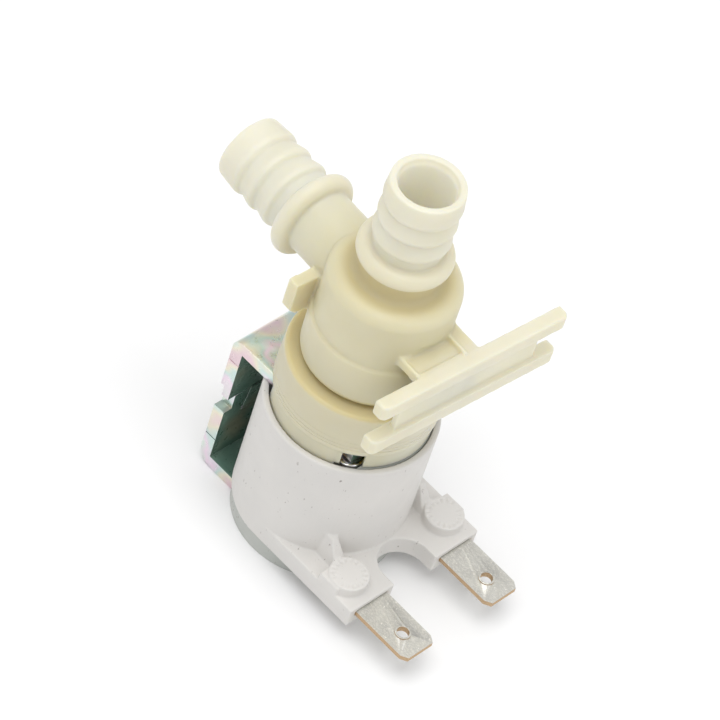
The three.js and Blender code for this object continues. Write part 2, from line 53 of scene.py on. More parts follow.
# Beyond the sides of the coil and the bonnet.
FAR = 20


def mm_box(node):
    low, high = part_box(node)
    return low / MM, high / MM


# ---------------------------------------------------------------- driving dimensions
coil_low, coil_high = mm_box("coil_overmould")
COIL_RADIUS = coil_high.x
COIL_BOTTOM = coil_low.z
RIM = coil_high.z
CUP_RADIUS = COIL_RADIUS - 1
CUP_FLOOR = 22.9
LAND_TOP = 25.2
ARM_TOP = 6.65
ARM_ROOT = ARM_TOP - PAST
ARM_FRONT = coil_low.y
ARCH_HALF = 4.3
ARCH_Y = -17.7
BOSS_X = 9.85
BOSS_Y = -15.2
BOSS_RADIUS = 3.05
BOSS_TOP = 8.5
BARREL_RADIUS = 6.5
STEEL_BORE = 5.75
FLANGE_RADIUS = 12.74

blade_low, blade_high = mm_box("terminal_left")
BLADE_X = 8.68
BLADE_TIP = blade_low.y
BLADE_ROOT = blade_high.y
BLADE_BOTTOM = blade_low.z
BLADE_TOP = blade_high.z
BLADE_HALF = 3.15

yoke_high = mm_box("yoke_upper")[1]
SHEET = 2.1
YOKE_HALF = yoke_high.x
YOKE_OUTER = yoke_high.y
YOKE_INNER = YOKE_OUTER - SHEET
YOKE_TOP = yoke_high.z
YOKE_SPLIT = 15.3
TONGUE = 4.8

TUBE_OUTER = 4.6
TUBE_INNER = 3.7
DRUM_RADIUS = 12.4
DRUM_BOTTOM = YOKE_TOP + 0.3
DRUM_TOP = 36
LIP_RADIUS = 12.05
SPIGOT_RADIUS = 8.8
SPIGOT_TOP = mm_box("bonnet")[1].z

SKIRT_RADIUS = 10.3
SKIRT_BOTTOM = mm_box("valve_body")[0].z
SKIRT_TOP = 44
BODY_RADIUS = 9.85
BODY_TOP = 54.3
SHOULDER = 2
NECK_RADIUS = 5.9
SEAT_Z = 40.8
CHAMBER_RADIUS = 8.4
BORE_RADIUS = 4.1
COLLAR_RADIUS = 7.1
COLLAR = 2.85
TOP_PORT = 60.2
TOP_BARB = 12.7
SIDE_PORT = 18.75
SIDE_BARB = 13.05
SIDE_Z = 48.85
BARB_ROOT = 5.15
BARB_CREST = 5.78
BARB_TIP = 5.5
BARB_FIRST = 1.9
BARB_PITCH = 3.35
BARB_RIDGES = 3
RAIL_LEFT = -13.2
RAIL_RIGHT = 21.8
RAIL_BACK = -12.9
RAIL_FRONT = -15.2
RAIL_TALL = 2.6
RAIL_UPPER = 45.2
RAIL_LOWER = 37.7
RAIL_TOP = RAIL_UPPER + RAIL_TALL
RIB_LEFT = 3.4
RIB_RIGHT = 6.2


# ---------------------------------------------------------------- outlines
def arc(cx, cy, radius, start, stop, steps=10):
    """Points from start to stop degrees about a centre."""
    angles = [math.radians(start + (stop - start) * i / steps) for i in range(steps + 1)]
    return [(cx + radius * math.cos(a), cy + radius * math.sin(a)) for a in angles]


def rounded(points, radius, steps=5):
    """The polyline with its inner corners replaced by curves that start radius from the corner."""
    result = [points[0]]
    for previous, corner, following in zip(points, points[1:], points[2:]):
        here = Vector(corner)
        before = Vector(previous) - here
        after = Vector(following) - here
        reach = min(radius, before.length * 0.45, after.length * 0.45)
        start = here + before.normalized() * reach
        stop = here + after.normalized() * reach
        for k in range(steps + 1):
            t = k / steps
            point = start * (1 - t) ** 2 + here * 2 * t * (1 - t) + stop * t**2
            result.append(tuple(point))
    result.append(points[-1])
    return result


# ---------------------------------------------------------------- solids, as bmesh
def lathe(profile, segments=96):
    """A [radius, z] profile turned about Z. It starts and ends on the axis, or closes on itself."""
    bm = bmesh.new()
    rings = []
    for radius, z in profile:
        if radius < 1e-6:
            rings.append([bm.verts.new((0, 0, z))])
            continue
        turn = [2 * math.pi * i / segments for i in range(segments)]
        rings.append([bm.verts.new((radius * math.cos(a), radius * math.sin(a), z)) for a in turn])
    pairs = list(zip(rings, rings[1:]))
    if len(rings[0]) > 1:
        pairs.append((rings[-1], rings[0]))
    for low, high in pairs:
        for i in range(segments):
            j = (i + 1) % segments
            below = [low[i % len(low)], low[j % len(low)]]
            above = [high[j % len(high)], high[i % len(high)]]
            corners = list(dict.fromkeys(below + above))
            if len(corners) > 2:
                bm.faces.new(corners)
    bmesh.ops.recalc_face_normals(bm, faces=bm.faces)
    return bm


def disc(radius, z0, z1, segments=96):
    return lathe([(0, z0), (radius, z0), (radius, z1), (0, z1)], segments)


def tube(inner, outer, z0, z1, segments=96):
    return lathe([(inner, z0), (outer, z0), (outer, z1), (inner, z1)], segments)


def prism(outline, z0, z1, bevel=0.0):
    """An XY outline extruded along Z, with its edges broken by bevel."""
    bm = bmesh.new()
    base = bm.faces.new([bm.verts.new((x, y, z0)) for x, y in outline])
    top = bmesh.ops.extrude_face_region(bm, geom=[base])["geom"]
    moved = [v for v in top if isinstance(v, bmesh.types.BMVert)]
    bmesh.ops.translate(bm, verts=moved, vec=(0, 0, z1 - z0))
    bmesh.ops.recalc_face_normals(bm, faces=bm.faces)
    if bevel:
        break_edges(bm, bevel)
    return bm


def break_edges(bm, width, angle=25):
    sharp = [e for e in bm.edges if e.calc_face_angle(0) > math.radians(angle)]
    bmesh.ops.bevel(bm, geom=sharp, offset=width, segments=2, profile=0.5, affect="EDGES")


def box(x0, x1, y0, y1, z0, z1):
    return prism([(x0, y0), (x1, y0), (x1, y1), (x0, y1)], z0, z1)


def hull(corners):
    """The smallest closed shape round a few corners."""
    bm = bmesh.new()
    for corner in corners:
        bm.verts.new(corner)
    bmesh.ops.convex_hull(bm, input=bm.verts)
    bmesh.ops.recalc_face_normals(bm, faces=bm.faces)
    return bm


def placed(bm, matrix):
    bm.transform(matrix)
    return bm


def shifted(bm, x=0, y=0, z=0):
    return placed(bm, Matrix.Translation((x, y, z)))


# An outline drawn in Y and Z, extruded along X, and one drawn in X and Z, extruded towards -Y.
TO_X = Matrix.Rotation(math.pi / 2, 4, "Z") @ Matrix.Rotation(math.pi / 2, 4, "X")
TO_Y = Matrix.Rotation(math.pi / 2, 4, "X")
# A shape along +Z laid down along +Y at the side port's height.
TO_SIDE_PORT = Matrix.Translation((0, 0, SIDE_Z)) @ Matrix.Rotation(-math.pi / 2, 4, "X")


# ---------------------------------------------------------------- objects
def mesh_object(name, bm, place=LEVEL):
    mesh = bpy.data.meshes.new(name)
    bm.to_mesh(mesh)
    bm.free()
    mesh.transform(place)
    obj = bpy.data.objects.new(name, mesh)
    bpy.context.scene.collection.objects.link(obj)
    return obj


def apply_modifiers(obj):
    graph = bpy.context.evaluated_depsgraph_get()
    mesh = bpy.data.meshes.new_from_object(obj.evaluated_get(graph))
    obj.modifiers.clear()
    obj.data = mesh


def discard(obj):
    mesh = obj.data
    bpy.data.objects.remove(obj)
    bpy.data.meshes.remove(mesh)


def taken(obj):
    """The mesh of an object as a bmesh. The object goes."""
    bm = bmesh.new()
    bm.from_mesh(obj.data)
    discard(obj)
    return bm


def carved(name, solids, cutters=(), place=LEVEL):
    """The first solid with the others joined to it and the cutters taken away."""
    obj = mesh_object(name, solids[0], place)
    steps = [("UNION", bm) for bm in solids[1:]] + [("DIFFERENCE", bm) for bm in cutters]
    for operation, bm in steps:
        tool = mesh_object("tool", bm, place)
        modifier = obj.modifiers.new("carve", "BOOLEAN")
        modifier.operation = operation
        modifier.solver = "EXACT"
        modifier.object = tool
        apply_modifiers(obj)
        discard(tool)
    return obj


def spans_meet(first, second):
    """Whether the boxes round two solids overlap."""
    for axis in range(3):
        a = [v.co[axis] for v in first.verts]
        b = [v.co[axis] for v in second.verts]
        if min(a) > max(b) or min(b) > max(a):
            return False
    return True


def moulded(name, solids, cutters, voxel, smoothing=3, kept=0.3, place=LEVEL):
    """Cuts every solid by itself, then joins them all in one fine remesh that rounds each edge."""
    joined = bmesh.new()
    for solid in solids:
        near = [cutter.copy() for cutter in cutters if spans_meet(solid, cutter)]
        cut = carved("solid", [solid], near, place)
        joined.from_mesh(cut.data)
        discard(cut)
    for cutter in cutters:
        cutter.free()
    obj = mesh_object(name, joined)
    soften(obj, voxel, smoothing, kept)
    return obj


def soften(obj, voxel, smoothing, kept):
    """Rounds every edge slightly, as a mould does: fine remesh, smoothing, then thinning."""
    remesh = obj.modifiers.new("remesh", "REMESH")
    remesh.mode = "VOXEL"
    remesh.voxel_size = voxel
    smooth = obj.modifiers.new("smooth", "SMOOTH")
    smooth.iterations = smoothing
    smooth.factor = 0.5
    thin = obj.modifiers.new("thin", "DECIMATE")
    thin.ratio = kept
    apply_modifiers(obj)
    obj.data.shade_smooth()


def crisp(obj, width=0.1, angle=35, segments=2):
    """Small rounded edges on a stamped piece."""
    bevel = obj.modifiers.new("bevel", "BEVEL")
    bevel.width = width
    bevel.segments = segments
    bevel.limit_method = "ANGLE"
    bevel.angle_limit = math.radians(angle)
    bevel.harden_normals = False
    apply_modifiers(obj)
    obj.data.shade_smooth()
    obj.data.set_sharp_from_angle(angle=math.radians(40))


def finish_piece(obj, body, material, slot, *nodes):
    obj.data.transform(Matrix.Scale(MM, 4))
    obj.data.materials.clear()
    obj.data.materials.append(material)
    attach(obj, body)
    if nodes:
        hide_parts(*nodes)


# ---------------------------------------------------------------- material building blocks
class Look:
    """A Principled material with the few nodes that the looks below share."""

    def __init__(self, name, roughness, metallic=0.0):
        self.material = bpy.data.materials.new(name)
        self.material.use_nodes = True
        self.nodes = self.material.node_tree.nodes
        self.links = self.material.node_tree.links
        self.shader = self.nodes["Principled BSDF"]
        self.shader.inputs["Metallic"].default_value = metallic
        self.shader.inputs["Roughness"].default_value = roughness
        self.place = self.nodes.new("ShaderNodeTexCoord").outputs["Object"]

    def noise(self, size_mm, detail=4.0, stretch=None):
        """Noise whose features are about size_mm across."""
        node = self.nodes.new("ShaderNodeTexNoise")
        node.inputs["Scale"].default_value = 1 / (size_mm * MM)
        node.inputs["Detail"].default_value = detail
        source = self.place
        if stretch:
            mapping = self.nodes.new("ShaderNodeMapping")
            mapping.inputs["Scale"].default_value = stretch
            self.links.new(source, mapping.inputs["Vector"])
            source = mapping.outputs["Vector"]
        self.links.new(source, node.inputs["Vector"])
        return node.outputs["Fac"]

    def ramp(self, value, *stops):
        """Maps a value to colours: stops are (position, colour)."""
        node = self.nodes.new("ShaderNodeValToRGB")
        elements = node.color_ramp.elements
        while len(elements) < len(stops):
            elements.new(0.5)
        for element, (position, color) in zip(elements, stops):
            element.position = position
            element.color = (*color, 1)
        self.links.new(value, node.inputs["Fac"])
        return node.outputs["Color"]

    def spread(self, value, low, high, from_low=0.3, from_high=0.7):
        """Turns from_low..from_high into low..high, and holds the ends."""
        node = self.nodes.new("ShaderNodeMapRange")
        for key, number in (("From Min", from_low), ("From Max", from_high),
                            ("To Min", low), ("To Max", high)):
            node.inputs[key].default_value = number
        self.links.new(value, node.inputs["Value"])
        return node.outputs["Result"]

    def axis(self, letter):
        node = self.nodes.new("ShaderNodeSeparateXYZ")
        self.links.new(self.place, node.inputs["Vector"])
        return node.outputs[letter]

    def reach(self):
        """Distance from the Z axis, in metres."""
        flat = self.nodes.new("ShaderNodeVectorMath")
        flat.operation = "MULTIPLY"
        flat.inputs[1].default_value = (1, 1, 0)
        self.links.new(self.place, flat.inputs[0])
        length = self.nodes.new("ShaderNodeVectorMath")
        length.operation = "LENGTH"
        self.links.new(flat.outputs["Vector"], length.inputs[0])
        return length.outputs["Value"]

    def band(self, value, low, high, soft):
        """1 between low and high, falling to 0 over the soft distance outside them."""
        rising = self.spread(value, 0, 1, low - soft, low)
        falling = self.spread(value, 1, 0, high, high + soft)
        return self.both(rising, falling)

    def highest(self, first, *others):
        """The largest of several values."""
        for other in others:
            node = self.nodes.new("ShaderNodeMath")
            node.operation = "MAXIMUM"
            self.links.new(first, node.inputs[0])
            self.links.new(other, node.inputs[1])
            first = node.outputs["Value"]
        return first

    def facing(self, letter, low, high):
        """1 on faces that point along an axis of the object, falling to 0 away from it."""
        node = self.nodes.new("ShaderNodeSeparateXYZ")
        geometry = self.nodes.new("ShaderNodeNewGeometry")
        self.links.new(geometry.outputs["True Normal"], node.inputs["Vector"])
        return self.spread(node.outputs[letter], 0, 1, low, high)

    def both(self, first, second):
        """Two masks multiplied."""
        node = self.nodes.new("ShaderNodeMath")
        node.operation = "MULTIPLY"
        self.links.new(first, node.inputs[0])
        self.links.new(second, node.inputs[1])
        return node.outputs["Value"]

    def low_down(self):
        """1 in the lower half of the coil, falling to 0 above it."""
        return self.spread(self.axis("Z"), 1, 0, 0.010, 0.014)

    def mix(self, factor, first, second):
        node = self.nodes.new("ShaderNodeMix")
        node.data_type = "RGBA"
        self.links.new(factor, node.inputs["Factor"])
        for socket, value in ((node.inputs["A"], first), (node.inputs["B"], second)):
            if isinstance(value, tuple):
                socket.default_value = (*value, 1)
            else:
                self.links.new(value, socket)
        return node.outputs["Result"]

    def color(self, value):
        self.links.new(value, self.shader.inputs["Base Color"])

    def metallic(self, value):
        self.links.new(value, self.shader.inputs["Metallic"])

    def roughness(self, value):
        self.links.new(value, self.shader.inputs["Roughness"])

    def bump(self, height, depth_mm, strength=1.0):
        node = self.nodes.new("ShaderNodeBump")
        node.inputs["Strength"].default_value = strength
        node.inputs["Distance"].default_value = depth_mm * MM
        self.links.new(height, node.inputs["Height"])
        normal = self.shader.inputs["Normal"]
        if normal.is_linked:
            self.links.new(normal.links[0].from_socket, node.inputs["Normal"])
        self.links.new(node.outputs["Normal"], normal)

    def glow_inside(self, weight, depth_mm, radius):
        self.shader.inputs["Subsurface Weight"].default_value = weight
        self.shader.inputs["Subsurface Scale"].default_value = depth_mm * MM
        self.shader.inputs["Subsurface Radius"].default_value = radius


# ---------------------------------------------------------------- looks
def natural_nylon():
    """Unfilled nylon: olive where thick. Painted brownish-yellow shade in the hollows, painted light
    that makes the barbs and rails paler, and a painted glow in the bore.
    """
    look = Look("natural_nylon", 0.4)
    across = look.axis("Y")
    height = look.axis("Z")
    # Painted light: the upright barb, the side barb and the rails are paler, standing in for light
    # that shines through their thin walls.
    upright_barb = look.spread(height, 0, 1, 0.054, 0.064)
    rails = look.spread(across, 0, 0.8, -0.0105, -0.0135)
    side_barb = look.spread(across, 0, 1, 0.009, 0.019)
    thin = look.highest(upright_barb, rails, side_barb)
    thick = look.ramp(look.noise(14), (0.3, (0.600, 0.560, 0.405)), (0.7, (0.650, 0.610, 0.450)))
    pale_thin_wall_glow = look.ramp(look.noise(9), (0.3, (0.715, 0.690, 0.560)), (0.7, (0.765, 0.740, 0.630)))
    yellow, painted_amber_shade, lit = (0.74, 0.68, 0.45), (0.62, 0.54, 0.31), (0.98, 0.94, 0.82)
    body = look.mix(look.spread(height, 0, 0.5, 0.036, 0.046), thick, yellow)
    # Painted shade: a darker brownish-yellow at the foot of the upright port's neck and on the ledge
    # under the skirt, where these hollows lie in shade.
    neck_height = look.band(height, 0.0540, 0.0566, 0.0012)
    neck = look.both(neck_height, look.spread(look.reach(), 1, 0, 0.0072, 0.0092))
    skirt_ledge_shade = look.band(height, 0.0358, 0.0372, 0.0004)
    shaded = look.mix(look.highest(neck, skirt_ledge_shade), look.mix(thin, body, pale_thin_wall_glow), painted_amber_shade)
    # Painted light: inside the bore the colour turns pale, standing in for light that passes through
    # its wall.
    bore = look.spread(look.reach(), 1, 0, 0.0041, 0.0044)
    with_bore_glow = look.mix(look.both(bore, look.spread(height, 0, 1, 0.054, 0.060)), shaded, lit)
    dirt = look.ramp(look.noise(0.8, 6), (0.70, (0, 0, 0)), (0.78, (1, 1, 1)))
    patches = look.ramp(look.noise(7), (0.60, (0, 0, 0)), (0.70, (0.45, 0.45, 0.45)))
    look.color(look.mix(look.mix(patches, (0, 0, 0), dirt), with_bore_glow, (0.30, 0.26, 0.19)))
    look.roughness(look.spread(look.noise(2.5), 0.36, 0.52))
    look.bump(look.noise(0.25, 3), 0.012)
    look.bump(look.noise(4), 0.06)
    look.glow_inside(0.7, 3.0, (1.0, 0.85, 0.5))
    return look.material


def filled_nylon(name, light, dark, dirt_color):
    """Opaque moulded nylon with soft clouds and small dark marks in patches."""
    look = Look(name, 0.5)
    cloudy = look.ramp(look.noise(10), (0.3, dark), (0.7, light))
    specks = look.ramp(look.noise(0.6, 5, (1, 1, 0.55)), (0.665, (0, 0, 0)), (0.72, (1, 1, 1)))
    patches = look.ramp(look.noise(6), (0.46, (0, 0, 0)), (0.60, (0.75, 0.75, 0.75)))
    marks = look.mix(patches, (0, 0, 0), specks)
    look.color(look.mix(marks, cloudy, dirt_color))
    look.roughness(look.spread(look.noise(1.5), 0.42, 0.62))
    look.bump(look.noise(0.18, 4), 0.02)
    look.bump(look.noise(3), 0.04)
    look.glow_inside(0.15, 1.0, (1.0, 0.95, 0.9))
    return look.material


def passivated_zinc():
    """Zinc under a thin film of changing colour, pink and green, with a painted dark green reflection
    on the inner faces.
    """
    look = Look("passivated_zinc", 0.3, 1.0)
    film = look.ramp(
        look.noise(7, 2),
        (0.32, (0.78, 0.62, 0.66)), (0.42, (0.80, 0.76, 0.62)), (0.50, (0.60, 0.74, 0.70)),
        (0.58, (0.84, 0.70, 0.80)), (0.68, (0.72, 0.80, 0.74)),
    )
    # Painted reflection: faces turned inwards, and upward faces low in the coil, get a dark green and
    # less metallic, standing in for the dark surroundings they reflect.
    inner = look.ramp(
        look.noise(8, 2), (0.35, (0.07, 0.15, 0.115)), (0.52, (0.11, 0.19, 0.145)),
        (0.68, (0.17, 0.19, 0.13)),
    )
    floor_faces = look.both(look.facing("Z", 0.6, 0.95), look.low_down())
    painted_reflection_mask = look.highest(look.facing("Y", -0.6, -0.95), floor_faces)
    film_and_painted_reflection = look.mix(painted_reflection_mask, film, inner)
    pits = look.ramp(look.noise(0.7, 6), (0.68, (0, 0, 0)), (0.76, (1, 1, 1)))
    worn = look.ramp(look.noise(5), (0.50, (0, 0, 0)), (0.62, (1, 1, 1)))
    look.color(look.mix(look.mix(worn, (0, 0, 0), pits), film_and_painted_reflection, (0.10, 0.08, 0.05)))
    look.metallic(look.spread(painted_reflection_mask, 1.0, 0.25, 0, 1))
    look.roughness(look.spread(look.noise(1.2, 5), 0.24, 0.42))
    look.bump(look.noise(0.9, 4), 0.03)
    return look.material


def tinned_brass():
    """Dull tin with a fine bright grain. The brass shows on the sheared edges."""
    look = Look("tinned_brass", 0.5, 1.0)
    tin = look.ramp(look.noise(3, 4), (0.35, (0.60, 0.59, 0.55)), (0.65, (0.68, 0.67, 0.62)))
    grain = look.ramp(look.noise(0.16, 5, (1, 0.5, 1)), (0.46, (0, 0, 0)), (0.66, (0.7, 0.7, 0.7)))
    scuffs = look.ramp(look.noise(0.5, 6), (0.66, (0, 0, 0)), (0.72, (1, 1, 1)))
    face = look.mix(scuffs, look.mix(grain, tin, (0.86, 0.84, 0.78)), (0.97, 0.95, 0.90))
    level = look.highest(look.facing("Z", 0.8, 0.97), look.facing("Z", -0.8, -0.97))
    look.color(look.mix(level, (0.55, 0.40, 0.25), face))
    look.roughness(look.spread(look.noise(0.3, 5), 0.42, 0.6))
    look.bump(look.noise(0.2, 5, (1, 0.5, 1)), 0.02)
    return look.material


def bright_zinc():
    look = Look("bright_zinc", 0.16, 1.0)
    look.color(look.ramp(look.noise(2, 3), (0.35, (0.72, 0.70, 0.74)), (0.65, (0.86, 0.88, 0.86))))
    look.roughness(look.spread(look.noise(0.8), 0.1, 0.24))
    look.bump(look.noise(1.2, 3), 0.08)
    return look.material


def plain_metal(name, dark, light, roughness=0.3):
    look = Look(name, roughness, 1.0)
    look.color(look.ramp(look.noise(2), (0.3, dark), (0.7, light)))
    look.roughness(look.spread(look.noise(0.5, 4, (1, 1, 6)), roughness - 0.06, roughness + 0.12))
    look.bump(look.noise(0.3, 4, (1, 1, 8)), 0.01)
    return look.material


def dull(name, dark, light, roughness):
    look = Look(name, roughness)
    look.color(look.ramp(look.noise(3), (0.3, dark), (0.7, light)))
    look.roughness(look.spread(look.noise(0.8), roughness - 0.08, roughness + 0.08))
    look.bump(look.noise(0.4, 4), 0.02)
    return look.material


# ---------------------------------------------------------------- valve body
def barb(length):
    """Hose barb along +Z with rounded ridges, from its collar's outer face at 0."""
    face_start, face_end = 0.4, 0.95
    face_drop = 0.12
    tip_edge = 0.1
    softness = 0.4
    profile = [(BARB_ROOT, BARB_FIRST)]
    for ridge in range(BARB_RIDGES):
        foot = BARB_FIRST + ridge * BARB_PITCH
        profile.append((BARB_CREST - face_drop, foot + face_start))
        profile.append((BARB_CREST, foot + face_end))
        if ridge < BARB_RIDGES - 1:
            profile.append((BARB_ROOT, foot + BARB_PITCH))
    profile += [(BARB_TIP, length - tip_edge), (BARB_TIP - tip_edge, length), (0, length)]
    return lathe([(0, -PAST), (BARB_ROOT, -PAST), *rounded(profile, softness)])


def flared_bore(end):
    """Bore cutter along +Z, opened slightly where it leaves the barb at end."""
    flare_width, flare_length = 0.5, 1
    over = 0.2
    return lathe([
        (0, SEAT_Z - PAST), (BORE_RADIUS, SEAT_Z - PAST), (BORE_RADIUS, end - flare_length),
        (BORE_RADIUS + flare_width, end + over), (0, end + over),
    ])


def collar(top):
    """Fully rounded collar whose outer face is at top."""
    half = COLLAR / 2
    outer = arc(COLLAR_RADIUS - half, top - half, half, -90, 90, 16)
    return lathe([(0, top - COLLAR), *outer, (0, top)])


def body_shell():
    """The round body from its skirt to the upright port's neck."""
    step = 0.2
    fillet = 1.1
    neck_end = TOP_PORT - PAST
    skirt = [
        (0, SKIRT_BOTTOM), (SKIRT_RADIUS, SKIRT_BOTTOM), (SKIRT_RADIUS, SKIRT_TOP),
        (BODY_RADIUS, SKIRT_TOP + step),
    ]
    shoulder = arc(BODY_RADIUS - SHOULDER, BODY_TOP - SHOULDER, SHOULDER, 0, 90)
    foot = arc(NECK_RADIUS + fillet, BODY_TOP + fillet, fillet, 270, 180, 6)
    return lathe([*rounded(skirt, 0.6), *shoulder, *foot, (NECK_RADIUS, neck_end), (0, neck_end)])


def rail_bar(z0):
    """One rail, its front corners cut off and its edges broken."""
    slope = 0.6
    edge = 0.12
    outline = [
        (RAIL_LEFT, RAIL_BACK), (RAIL_LEFT, RAIL_FRONT + slope), (RAIL_LEFT + slope, RAIL_FRONT),
        (RAIL_RIGHT - slope, RAIL_FRONT), (RAIL_RIGHT, RAIL_FRONT + slope), (RAIL_RIGHT, RAIL_BACK),
    ]
    return prism(outline, z0, z0 + RAIL_TALL, edge)


def rail_web():
    """The wall between the rails, set back from their fronts and ends."""
    inset = 4.2
    set_back = 0.7
    return box(RAIL_LEFT + inset, RAIL_RIGHT - inset, RAIL_FRONT + set_back, RAIL_BACK - set_back,
               RAIL_LOWER + PAST, RAIL_UPPER + PAST)


def shelf_and_rib():
    """The bracket behind the rails: a shelf, and an upright rib with a raised left edge."""
    front = RAIL_BACK - 0.1
    back = -7.4
    shelf_left = -5.1
    shelf_thickness = 1.8
    below_rail = 0.05
    edge_right = RIB_LEFT + 0.45
    edge_back = -8
    edge_bottom, edge_top = RAIL_TOP - 1, RAIL_TOP + 0.3
    top = RAIL_TOP - below_rail
    return [
        box(shelf_left, RIB_RIGHT, front, back, RAIL_TOP - shelf_thickness, top),
        box(RIB_LEFT, RIB_RIGHT, front, back, RAIL_LOWER + below_rail, top),
        box(RIB_LEFT, edge_right, front, edge_back, edge_bottom, edge_top),
    ]


def shelf_tray():
    """Cutter for the shallow tray in the shelf, left of the rib."""
    left, back = -4.6, -9.4
    depth = 0.5
    wall = 0.5
    return box(left, RIB_LEFT, RAIL_BACK + wall, back, RAIL_TOP - depth, RAIL_TOP + PAST)


def back_bar():
    """The flat bar at the back of the body, its lower corners cut off."""
    half = 9.8
    bottom = 41.2
    chamfer = 1.4
    thickness = 1.9
    back = 10.3
    outline = [
        (-half, bottom + chamfer), (-half + chamfer, bottom), (half - chamfer, bottom),
        (half, bottom + chamfer), (half, RAIL_TOP), (-half, RAIL_TOP),
    ]
    return shifted(placed(prism(outline, 0, thickness), TO_Y), y=back)


def make_valve_body():
    side_neck_radius, side_neck_from = 5.3, 7.5
    side_bore_from = 6.5
    seat_radius = 5.5
    chamber_top = 53
    spigot_gap = 0.3
    solids = [
        body_shell(),
        collar(TOP_PORT),
        shifted(barb(TOP_BARB), z=TOP_PORT),
        placed(disc(side_neck_radius, side_neck_from, SIDE_PORT - 0.5), TO_SIDE_PORT),
        placed(collar(SIDE_PORT), TO_SIDE_PORT),
        placed(shifted(barb(SIDE_BARB), z=SIDE_PORT), TO_SIDE_PORT),
        *shelf_and_rib(),
        rail_web(),
        rail_bar(RAIL_UPPER),
        rail_bar(RAIL_LOWER),
        back_bar(),
    ]
    cutters = [
        flared_bore(TOP_PORT + TOP_BARB),
        tube(seat_radius, CHAMBER_RADIUS, SEAT_Z - PAST, chamber_top),
        disc(SPIGOT_RADIUS + spigot_gap, SKIRT_BOTTOM - PAST, SEAT_Z),
        placed(disc(BORE_RADIUS, side_bore_from, SIDE_PORT + SIDE_BARB + PAST), TO_SIDE_PORT),
        shelf_tray(),
    ]
    obj = moulded("valve_body_moulding", solids, cutters, 0.2, place=TURNED)
    finish_piece(obj, "valve", NYLON, "cream_nylon", "valve_body")


# ---------------------------------------------------------------- bonnet
def side_skirts():
    """Two curved walls that hang below the drum, left and right."""
    thickness = 0.95
    bottom = 23.5
    starts_at = 9.65
    wall = tube(LIP_RADIUS - thickness, LIP_RADIUS, bottom, DRUM_BOTTOM + PAST)
    middle = box(-starts_at, starts_at, -FAR, FAR, 0, DRUM_BOTTOM + 2)
    return taken(carved("side_skirts", [wall], [middle]))


def drum_lip():
    """A short ring below the drum, open over the four corners of the pole plate."""
    bottom = 25.45
    half_window = 1.7
    window_from, window_to = 9, 14
    windows = []
    for quarter in (45, 135, 225, 315):
        window = box(-half_window, half_window, window_from, window_to, bottom - PAST, DRUM_BOTTOM)
        turn = Matrix.Rotation(math.radians(quarter) - VALVE_YAW, 4, "Z")
        windows.append(placed(window, turn))
    inner, outer = LIP_RADIUS - 0.9, LIP_RADIUS - 0.05
    ring = tube(inner, outer, bottom, DRUM_BOTTOM + 1.2)
    return taken(carved("lip", [ring], windows))


def tooling_lines():
    """Cutters for the fine grooves round the lower part of the drum."""
    depth, width = 0.1, 0.12
    return [
        tube(DRUM_RADIUS - depth, DRUM_RADIUS + PAST, DRUM_BOTTOM + z, DRUM_BOTTOM + z + width)
        for z in (1.3, 1.9, 2.7)
    ]


def bonnet_profile():
    """The drum, its neck and the spigot that enters the valve body."""
    neck_radius = 9.4
    neck_top = SKIRT_BOTTOM - 0.3
    chamfer_in, chamfer_up = 0.5, 0.6
    draft = 0.25
    drum = rounded([
        (DRUM_RADIUS - chamfer_in, DRUM_BOTTOM), (DRUM_RADIUS, DRUM_BOTTOM + chamfer_up),
        (DRUM_RADIUS - draft, DRUM_TOP), (neck_radius, DRUM_TOP),
    ], 0.7)
    return [
        (0, DRUM_BOTTOM), *drum, (neck_radius, neck_top), (SPIGOT_RADIUS, neck_top),
        (SPIGOT_RADIUS, SPIGOT_TOP), (0, SPIGOT_TOP),
    ]


def make_bonnet():
    hollow_radius, hollow_floor = 7.4, DRUM_BOTTOM + 1.9
    tube_end = 1.2
    groove_depth, groove_bottom, groove_top = 0.9, 37.5, 38.7
    solids = [
        lathe(bonnet_profile(), 128),
        side_skirts(),
        drum_lip(),
        disc(TUBE_OUTER, 0, DRUM_BOTTOM + PAST),
    ]
    cutters = [
        disc(hollow_radius, hollow_floor, SPIGOT_TOP + PAST),
        disc(TUBE_INNER, tube_end, DRUM_BOTTOM + 3),
        tube(SPIGOT_RADIUS - groove_depth, SPIGOT_RADIUS + PAST, groove_bottom, groove_top),
        *tooling_lines(),
    ]
    obj = carved("bonnet_moulding", solids, cutters, TURNED)
    obj.data.shade_smooth()
    obj.data.set_sharp_from_angle(angle=math.radians(32))
    finish_piece(obj, "valve", NYLON, "cream_nylon", "bonnet")


# ---------------------------------------------------------------- coil
def boss(side):
    """Round boss near the end of an arm."""
    return shifted(disc(BOSS_RADIUS, ARM_ROOT, BOSS_TOP, 48), side * BOSS_X, BOSS_Y)


def pad(side):
    """Flat block between a boss and the outer side of its arm."""
    width, gap = 3.4, 0.05
    front, back = -16.2, -12.5
    top = 8.1
    across = sorted((side * (COIL_RADIUS - width), side * (COIL_RADIUS - gap)))
    return box(*across, front, back, ARM_ROOT, top)


def fin(side):
    """Wedge that leans from the coil's wall onto an arm."""
    x = 9
    back, front, crest_front = -8.8, -13, -10.5
    crest = ARM_TOP + 4.4
    toe = ARM_TOP + 0.3
    rows = (
        (1.2, back, ARM_ROOT), (1.4, front, ARM_ROOT), (1.2, front, toe),
        (0.55, crest_front, crest), (0.55, back, crest),
    )
    corners = [(sign * half, y, z) for sign in (-1, 1) for half, y, z in rows]
    return shifted(hull(corners), side * x)


